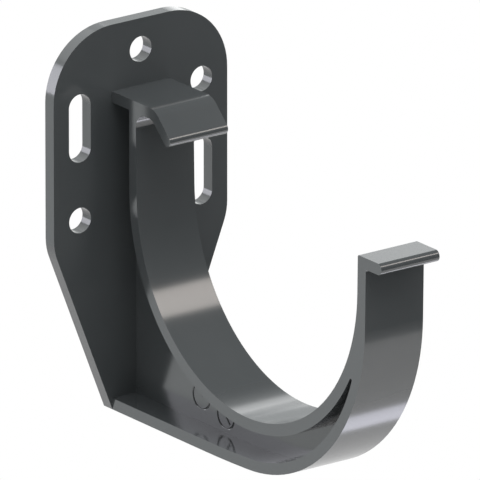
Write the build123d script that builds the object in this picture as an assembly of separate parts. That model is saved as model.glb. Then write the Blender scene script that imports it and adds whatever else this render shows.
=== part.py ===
from build123d import *
import math
import os

# Gutter bracket for a half-round gutter, moulded in one piece.
# The wall is the plane y = 0 and the bracket stands out from it towards -Y, with +Z up.
# The origin is on the plate's back, at the centre of the screw pattern.
# Heights are measured from the foot of the plate, and reaches from the wall.
# The gutter's seat drives the rest, and the front leg's reach is taken at the seat's centre.

# Seat for the gutter: half a circle, between legs that lean apart above its centre
seat_radius = 38.5
seat_floor_height = 11.68
rear_leg_reach = 11.75
front_leg_thickness = 2.8
leg_flare_angle = 1.0
seat_reach = rear_leg_reach + seat_radius
seat_height = seat_floor_height + seat_radius
front_leg_reach = seat_reach + seat_radius + front_leg_thickness

# Arm: bands along its edges and a web down its middle
arm_width = 15.0
web_thickness = 2.5
band_thickness = 2.5
seat_band_thickness = 2.6
pocket_corner_radius = 0.38

# Keel under the seat: level, then a slight rise, then one large bend into the front leg
keel_bend_drop = 7.98
keel_bend_radius = seat_height - keel_bend_drop
keel_rise_lead = 6.35
keel_rise_reach = front_leg_reach - keel_bend_radius - keel_rise_lead
keel_rise_angle = 2.3
keel_rise_radius = 350.0

# Lip on top of the front leg
lip_rise = 7.95
lip_height = seat_height + lip_rise
lip_overhang = 5.45
lip_reach = front_leg_reach + lip_overhang
lip_thickness = 2.5
lip_nose_radius = 0.48 * lip_thickness
lip_root_radius = 0.5
lip_inner_radius = 0.4

# Shelf and the hook over the gutter's rear bead
shelf_rise = 20.27
shelf_height = seat_height + shelf_rise
hook_thickness = 2.42
hook_arch_radius = 3.4
hook_bead_space = 6.4
hook_bend_reach = rear_leg_reach + hook_bead_space
hook_bend_radius = 2.3
hook_drop_angle = 44.0
hook_drop_length = 8.27
hook_nose_radius = 0.48 * hook_thickness

# Back plate, which stands above the shelf
plate_width = 45.0
plate_thickness = 3.0
plate_top_rise = 14.65
plate_height = shelf_height + plate_top_rise
plate_top_radius = 15.0

# Screw pattern: two rows, each with a round hole on one side and a slot on the other
hole_radius = 2.8
top_hole_drop = 6.8
top_hole_height = plate_height - top_hole_drop
row_pitch = 31.5
row_rise = 25.0
upper_row_drop = 16.5
upper_row_height = plate_height - upper_row_drop
lower_row_height = upper_row_height - row_rise
slot_travel = 9.4

# Taper below the lower row, down to the width of the arm
taper_drop = 5.5
taper_start_height = lower_row_height - taper_drop
taper_bend_radius = 12.0

half_plate = plate_width / 2
half_arm = arm_width / 2
half_web = web_thickness / 2
pattern_height = (upper_row_height + lower_row_height) / 2

# wall_plane looks at the plate from the front. side_plane has reach across and height up.
wall_plane = Plane(origin=(0, 0, 0), x_dir=(1, 0, 0), z_dir=(0, -1, 0))
side_plane = Plane(origin=(0, 0, 0), x_dir=(0, -1, 0), z_dir=(-1, 0, 0))


def block(low_x, low_y, high_x, high_y):
    """A rectangle from its low corner to its high corner."""
    return Pos((low_x + high_x) / 2, (low_y + high_y) / 2) * Rectangle(high_x - low_x, high_y - low_y)


def round_corners(sketch, corners):
    """Fillets the corner of a sketch nearest to each point, from a list of (x, y, radius)."""
    for x, y, radius in corners:
        corner = min(sketch.vertices(), key=lambda v: math.hypot(v.X - x, v.Y - y))
        sketch = fillet(corner, radius)
    return sketch


def plate_outline():
    """Round at the top, straight at the sides, then tapered down to the width of the arm."""
    right = [(half_arm, 0), (half_plate, taper_start_height), (half_plate, plate_height)]
    left = [(-x, z) for x, z in reversed(right)]
    corners = []
    for side in (-1, 1):
        corners.append((side * half_plate, taper_start_height, taper_bend_radius))
        corners.append((side * half_plate, plate_height, plate_top_radius))
    return round_corners(make_face(Polyline(*right, *left, close=True)), corners)


def screw_openings():
    """A hole and a slot on each side, turned half a turn about the pattern's centre, and a top hole."""
    half_rise = upper_row_height - pattern_height
    hole = Pos(row_pitch / 2, half_rise) * Circle(hole_radius)
    slot_centre = Pos(row_pitch / 2, slot_travel / 2 - half_rise)
    slot = slot_centre * Rot(0, 0, 90) * SlotCenterToCenter(slot_travel, 2 * hole_radius)
    rows = hole + slot
    rows += Rot(0, 0, 180) * rows
    return Pos(0, pattern_height) * rows + Pos(0, top_hole_height) * Circle(hole_radius)


def tangent(angle):
    """Tangent of an angle in degrees."""
    return math.tan(math.radians(angle))


def keel_corners(inset):
    """The corners of the keel's lines, drawn in by an inset: start of the rise, front leg, leg's top."""
    rise = tangent(keel_rise_angle)
    flare = tangent(leg_flare_angle)
    start = keel_rise_reach - inset * tangent(keel_rise_angle / 2)
    leg = front_leg_reach - inset / math.cos(math.radians(leg_flare_angle))
    corner = (leg + flare * (inset - start * rise - seat_height)) / (1 - flare * rise)
    return (start, inset), (corner, inset + rise * (corner - start)), (leg, seat_height)


def arm_outline():
    """Side view of the arm: keel, front leg, lip, seat, rear leg, hook and shelf."""
    flare = tangent(leg_flare_angle)
    hook_angle = math.radians(hook_drop_angle)
    lip_under = lip_height - lip_thickness
    hook_under = shelf_height - hook_thickness
    seat_edge = seat_radius / math.cos(math.radians(leg_flare_angle))
    front_leg_inside = seat_reach + seat_edge + flare * (lip_height - seat_height)
    rear_leg_inside = seat_reach - seat_edge - flare * (hook_under - seat_height)
    hook_inner_bend_reach = hook_bend_reach - hook_thickness * tangent(hook_drop_angle / 2)
    hook_top = (
        hook_bend_reach + hook_drop_length * math.cos(hook_angle),
        shelf_height - hook_drop_length * math.sin(hook_angle),
    )
    hook_heel = (
        hook_top[0] - hook_thickness * math.sin(hook_angle),
        hook_top[1] - hook_thickness * math.cos(hook_angle),
    )
    lip_root = front_leg_reach + flare * (lip_under - seat_height)
    keel_start, keel_end, leg_top = keel_corners(0)
    seat = CenterArc((seat_reach, seat_height), seat_radius, 180 + leg_flare_angle, 180 - 2 * leg_flare_angle)
    edge = Polyline(
        seat @ 1,
        (front_leg_inside, lip_height),
        (lip_reach, lip_height),
        (lip_reach, lip_under),
        (lip_root, lip_under),
        keel_end,
        keel_start,
        (0, 0),
        (0, shelf_height),
        (hook_bend_reach, shelf_height),
        hook_top,
        hook_heel,
        (hook_inner_bend_reach, hook_under),
        (rear_leg_inside, hook_under),
        seat @ 0,
    )
    return round_corners(
        make_face(seat + edge),
        [
            (front_leg_inside, lip_height, lip_inner_radius),
            (lip_reach, lip_height, lip_nose_radius),
            (lip_reach, lip_under, lip_nose_radius),
            (lip_root, lip_under, lip_root_radius),
            (*keel_end, keel_bend_radius),
            (*keel_start, keel_rise_radius),
            (hook_bend_reach, shelf_height, hook_bend_radius + hook_thickness),
            (*hook_top, hook_nose_radius),
            (*hook_heel, hook_nose_radius),
            (hook_inner_bend_reach, hook_under, hook_bend_radius),
            (rear_leg_inside, hook_under, hook_arch_radius),
        ],
    )


def pocket_outline():
    """The space inside the bands: one opening between the plate, shelf, rear leg, seat and keel."""
    keel_start, keel_end, leg_top = keel_corners(band_thickness)
    seat_band_radius = seat_radius + seat_band_thickness
    rear_leg_back = seat_reach - seat_band_radius
    ceiling = shelf_height - hook_thickness
    low = Polyline(
        (plate_thickness, band_thickness),
        keel_start,
        keel_end,
        leg_top,
        (plate_thickness, seat_height),
        close=True,
    )
    low = round_corners(
        make_face(low),
        [
            (*keel_end, keel_bend_radius - band_thickness),
            (*keel_start, keel_rise_radius - band_thickness),
        ],
    )
    tall = block(plate_thickness, band_thickness, rear_leg_back, ceiling)
    opening = low + tall - Pos(seat_reach, seat_height) * Circle(seat_band_radius)
    front_tip = max(opening.vertices(), key=lambda v: v.X)
    return round_corners(
        opening,
        [
            (front_tip.X, front_tip.Y, pocket_corner_radius),
            (rear_leg_back, ceiling, pocket_corner_radius),
        ],
    )


plate = extrude(wall_plane * plate_outline(), plate_thickness)
plate -= extrude(wall_plane * screw_openings(), plate_thickness)

arm = extrude(side_plane * arm_outline(), half_arm, both=True)
pocket = extrude(side_plane.offset(half_web) * pocket_outline(), half_arm - half_web)
arm -= [pocket, mirror(pocket, about=Plane.YZ)]

bracket = plate + arm
bracket = Pos(0, 0, -pattern_height) * bracket

os.makedirs("parts", exist_ok=True)
bracket.label = "bracket"
export_step(bracket, "parts/bracket.step")
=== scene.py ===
import math

import bpy
from mathutils import Matrix, Vector


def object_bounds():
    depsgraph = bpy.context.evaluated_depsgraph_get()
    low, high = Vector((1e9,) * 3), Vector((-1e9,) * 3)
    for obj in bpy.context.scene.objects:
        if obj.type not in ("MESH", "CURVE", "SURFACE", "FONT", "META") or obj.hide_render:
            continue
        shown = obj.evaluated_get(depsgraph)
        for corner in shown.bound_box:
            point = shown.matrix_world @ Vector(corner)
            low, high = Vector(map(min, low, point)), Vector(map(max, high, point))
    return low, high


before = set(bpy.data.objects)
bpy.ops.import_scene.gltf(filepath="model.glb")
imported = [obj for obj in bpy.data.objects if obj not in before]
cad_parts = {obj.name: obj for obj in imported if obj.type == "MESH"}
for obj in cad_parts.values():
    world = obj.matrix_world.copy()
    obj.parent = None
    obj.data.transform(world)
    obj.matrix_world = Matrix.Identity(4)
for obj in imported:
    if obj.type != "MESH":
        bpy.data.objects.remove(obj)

cad_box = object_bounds()

# Camera: a very long lens, for an almost parallel view of the bracket from its front left, a
# little above it. Its target is where the bracket has to sit for the middle of the frame.
camera_azimuth = 36.473
camera_elevation = 18.977
camera_distance = 4.439
camera_target = Vector((-0.00153, -0.0400, -0.00949))
camera_lens = 1600
camera_sensor = 36
camera_reach = 30

azimuth, elevation = math.radians(camera_azimuth), math.radians(camera_elevation)
forward = Vector((
    math.sin(azimuth) * math.cos(elevation),
    math.cos(azimuth) * math.cos(elevation),
    -math.sin(elevation),
))
camera = bpy.data.objects.new("camera", bpy.data.cameras.new("camera"))
camera.data.sensor_width = camera_sensor
camera.data.lens = camera_lens
camera.data.clip_end = camera_reach
camera.location = camera_target - forward * camera_distance
camera.rotation_euler = forward.to_track_quat("-Z", "Y").to_euler()
bpy.context.scene.collection.objects.link(camera)
bpy.context.scene.camera = camera
bpy.context.scene.view_settings.view_transform = "Standard"


# Room: white to the camera. In reflections it is white below and behind the bracket, dim above
# and in front of it, and a little dimmer low on the right.
class Socket:
    """One output of a shader tree. Arithmetic on it adds Math nodes."""

    def __init__(self, tree, output=None):
        self.tree = tree
        self.output = output

    def node(self, kind, settings=None, inputs=None, output=0):
        """Adds any other node: its settings first, then the values or links of its sockets."""
        node = self.tree.nodes.new(kind)
        for name, value in (settings or {}).items():
            setattr(node, name, value)
        for name, value in (inputs or {}).items():
            if isinstance(value, Socket):
                self.tree.links.new(value.output, node.inputs[name])
            else:
                node.inputs[name].default_value = value
        return Socket(self.tree, node.outputs[output]) if node.outputs else node

    def math(self, operation, *values):
        return self.node("ShaderNodeMath", {"operation": operation}, dict(enumerate(values)))

    def __add__(self, other):
        return self.math("ADD", self, other)

    def __radd__(self, other):
        return self.math("ADD", other, self)

    def __sub__(self, other):
        return self.math("SUBTRACT", self, other)

    def __rsub__(self, other):
        return self.math("SUBTRACT", other, self)

    def __mul__(self, other):
        return self.math("MULTIPLY", self, other)

    def __rmul__(self, other):
        return self.math("MULTIPLY", other, self)

    def split(self):
        """The X, Y and Z of a vector."""
        parts = self.node("ShaderNodeSeparateXYZ", inputs={"Vector": self}).output.node
        return [Socket(self.tree, parts.outputs[name]) for name in "XYZ"]

    def mix(self, factor, first, second):
        """Blends two colours. A Mix node's colour sockets share their names, hence the numbers."""
        sockets = {0: factor, 6: first, 7: second}
        return self.node("ShaderNodeMix", {"data_type": "RGBA"}, sockets, 2)

    def smooth(self, low, high, start=0.0, end=1.0):
        """Runs from start to end as this socket runs from low to high."""
        limits = {"From Min": low, "From Max": high, "To Min": start, "To Max": end}
        kind = {"interpolation_type": "SMOOTHSTEP"}
        return self.node("ShaderNodeMapRange", kind, {"Value": self} | limits)

    def ray_kinds(self):
        """Two masks: what the camera sees, also through glass, and what a gloss mirrors."""
        kinds = ("Is Camera Ray", "Is Transmission Ray", "Is Glossy Ray")
        direct, through, mirrored = (self.node("ShaderNodeLightPath", output=k) for k in kinds)
        return direct + through, mirrored


room_light = 0.77
room_tint = (0.965, 1, 1.005, 1)
front_low, front_high = 0.12, 0.22
front_rise_start, front_rise_end = 0.2, 0.75
back_start, back_full = 0.45, 0.75
low_right_dimming = 0.38
right_start, right_full = 0.2, 0.5
low_full, low_end = -0.1, 0.4

world = bpy.data.worlds.new("room")
world.use_nodes = True
world.node_tree.nodes.clear()
shader = Socket(world.node_tree)
seen, mirrored = shader.ray_kinds()
right, behind, above = shader.node("ShaderNodeTexCoord", output="Generated").split()
behind_white = behind.smooth(back_start, back_full)
front = above.smooth(front_rise_start, front_rise_end, front_low, front_high)
low_right = above.smooth(low_full, low_end, low_right_dimming, 0)
low_right = low_right * right.smooth(right_start, right_full)
reflected = (behind_white + (1 - behind_white) * front) * (1 - low_right)
background = shader.node("ShaderNodeBackground", inputs={
    "Color": shader.mix(mirrored, (1, 1, 1, 1), room_tint),
    "Strength": seen + mirrored * reflected + (1 - seen - mirrored) * room_light,
})
shader.node("ShaderNodeOutputWorld", inputs={"Surface": background})
bpy.context.scene.world = world


# Floor: a plain pale disc well below the bracket, which hangs as it does on a wall. It is lifted
# to white where the camera sees it, and keeps the bracket's shadow.
floor_drop = 0.40
floor_radius = 0.95
floor_points = 96
floor_lift = 0.5
mirror_lift = 0.05
floor_colour = (0.66, 0.66, 0.66, 1)

bracket_middle = (cad_box[0] + cad_box[1]) / 2
floor_height = cad_box[0].z - floor_drop
rim = []
for step in range(floor_points):
    turn = 2 * math.pi * step / floor_points
    x = bracket_middle.x + floor_radius * math.cos(turn)
    y = bracket_middle.y + floor_radius * math.sin(turn)
    rim.append((x, y, floor_height))
floor_mesh = bpy.data.meshes.new("floor")
floor_mesh.from_pydata(rim, [], [range(floor_points)])
floor = bpy.data.objects.new("floor", floor_mesh)
bpy.context.scene.collection.objects.link(floor)

floor_paint = bpy.data.materials.new("floor paint")
floor_paint.use_nodes = True
floor_paint.node_tree.nodes.clear()
shader = Socket(floor_paint.node_tree)
seen, mirrored = shader.ray_kinds()
lit = shader.node("ShaderNodeBsdfDiffuse", inputs={"Color": floor_colour})
lift = seen * floor_lift + mirrored * mirror_lift
glow = shader.node("ShaderNodeEmission", inputs={"Strength": lift})
surface = shader.node("ShaderNodeAddShader", inputs={0: lit, 1: glow})
shader.node("ShaderNodeOutputMaterial", inputs={"Surface": surface})
floor_mesh.materials.append(floor_paint)


# Lamps: soft boxes round the bracket, at a plain level. Each one is given by the way from the
# bracket's middle to it, its distance, its size and how bright its face is, where 1 is as bright
# as white paper. Its height runs along up, as near as it can.
def soft_box(name, toward, distance, width, height, brightness, up=(0, 0, 1), tint=(1, 1, 1)):
    lamp = bpy.data.lights.new(name, "AREA")
    lamp.shape = "RECTANGLE"
    lamp.size, lamp.size_y = width, height
    lamp.energy = brightness * math.pi * width * height
    lamp.color = tint
    box = bpy.data.objects.new(name, lamp)
    way = Vector(toward).normalized()
    across = Vector(up).cross(way).normalized()
    box.location = bracket_middle + way * distance
    box.rotation_euler = Matrix((across, way.cross(across), way)).transposed().to_euler()
    box.visible_camera = False
    bpy.context.scene.collection.objects.link(box)


soft_box(
    "key", toward=(0.564, -0.543, 0.622), distance=1.6, width=0.9, height=0.42,
    brightness=3.85, up=(0, 0.754, 0.657), tint=(1, 0.925, 0.87),
)
soft_box(
    "overhead", toward=(-0.10, -0.25, 0.96), distance=1.6, width=1.4, height=1.4,
    brightness=4.8,
)
soft_box(
    "top_back", toward=(-0.10, 0.758, 0.64), distance=1.6, width=1.3, height=0.6,
    brightness=0.4,
)
soft_box(
    "back_left", toward=(-0.61, 0.758, 0.15), distance=1.6, width=0.34, height=0.84,
    brightness=2.8, tint=(1, 0.99, 1.09),
)
soft_box(
    "back_right_high", toward=(0.564, 0.685, 0.462), distance=1.6, width=0.4, height=0.22,
    brightness=1.3, up=(0, -0.5, 0.83),
)
soft_box(
    "back_right_low", toward=(0.652, 0.730, 0.202), distance=0.506, width=0.09, height=0.22,
    brightness=0.55, up=(-0.19, -0.26, 0.95),
)
soft_box(
    "right_edge", toward=(0.65, 0.75, 0.14), distance=1.6, width=0.20, height=0.46,
    brightness=1.2, up=(-0.23, 0, 0.97),
)
soft_box(
    "below", toward=(0.182, -0.040, -0.289), distance=0.343, width=0.3, height=0.064,
    brightness=2.4, up=(0, 1, 0), tint=(0.95, 0.95, 1.1),
)


# Bracket: one solid moulding in anthracite plastic, glossy as it left the mould. A fine grain,
# slow ripples and faint pale patches keep it from being perfect. Two round date marks with a
# pointer are cut into the left face of the web, above the keel. Their grooves also get painted
# shade, a darker colour in the cuts.
plastic_colour = (0.0415, 0.0460, 0.0480, 1)
paler_colour = (0.0460, 0.0505, 0.0525, 1)
# Painted shade: the colour the date marks' grooves are darkened towards, standing for shade in the
# cuts.
groove_shade_colour = (0.012, 0.013, 0.014, 1)
groove_shade_strength = 0.8
plastic_roughness = 0.14
plastic_ior = 1.80
grain_scale, grain_detail = 2600, 2
grain_height, grain_roughness = 0.0000012, 0.05
ripple_scale, ripple_detail = 140, 1
ripple_height = 0.000008
patch_scale, patch_detail = 45, 3
patch_low, patch_high = 0.3, 0.7
patch_roughness = 0.04
web_face, web_face_margin = -0.00125, 0.0002
mark_radius = 0.0029
mark_half_width = 0.0003
mark_depth = 0.00008
ring_open_below, ring_closed_above = -0.0029, -0.0024
# Each mark: its centre's y and z, the pointer's turn in degrees, how far the pointer's middle
# is from the centre, and half the pointer's length.
date_marks = (
    (-0.02606, -0.04791, 139, 0.0005, 0.0002),
    (-0.03466, -0.04983, -131.7, 0.0010, 0.0012),
)

plastic = bpy.data.materials.new("anthracite plastic")
plastic.use_nodes = True
plastic.node_tree.nodes.clear()
shader = Socket(plastic.node_tree)
place = shader.node("ShaderNodeTexCoord", output="Object")
across, inward, upward = place.split()


def noise(scale, detail):
    inputs = {"Vector": place, "Scale": scale, "Detail": detail}
    return shader.node("ShaderNodeTexNoise", inputs=inputs)


def drawn_line(distance):
    """1 on a line and 0 beside it, from the distance to its middle."""
    return 1 - shader.math("ABSOLUTE", distance).smooth(0, mark_half_width)


def date_mark(mark_y, mark_z, pointer_turn, pointer_middle, pointer_half):
    """A ring, open at its foot, and the pointer in it."""
    y, z = inward - mark_y, upward - mark_z
    ring = drawn_line(shader.math("SQRT", y * y + z * z) - mark_radius)
    ring = ring * z.smooth(ring_open_below, ring_closed_above)
    turn = math.radians(pointer_turn)
    along = y * math.cos(turn) + z * math.sin(turn)
    beside = z * math.cos(turn) - y * math.sin(turn)
    on_pointer = shader.math("COMPARE", along, pointer_middle, pointer_half)
    return shader.math("MAXIMUM", ring, drawn_line(beside) * on_pointer)


grain = noise(grain_scale, grain_detail)
ripple = noise(ripple_scale, ripple_detail)
patch = noise(patch_scale, patch_detail)
first_mark, second_mark = (date_mark(*mark) for mark in date_marks)
on_web_face = shader.math("COMPARE", across, web_face, web_face_margin)
groove = (first_mark + second_mark) * on_web_face
height = grain * grain_height + ripple * ripple_height - groove * mark_depth
normal = shader.node("ShaderNodeBump", inputs={"Height": height, "Distance": 1, "Strength": 1})
colour = shader.mix(patch.smooth(patch_low, patch_high), plastic_colour, paler_colour)
unevenness = (patch - 0.5) * patch_roughness + (grain - 0.5) * grain_roughness
# The base colour is darkened in the date marks' grooves, as painted shade.
surface = shader.node("ShaderNodeBsdfPrincipled", inputs={
    "Base Color": shader.mix(groove * groove_shade_strength, colour, groove_shade_colour),
    "Roughness": plastic_roughness + unevenness,
    "IOR": plastic_ior,
    "Normal": normal,
})
shader.node("ShaderNodeOutputMaterial", inputs={"Surface": surface})
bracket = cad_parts["bracket"]
bracket.data.materials.clear()
bracket.data.materials.append(plastic)
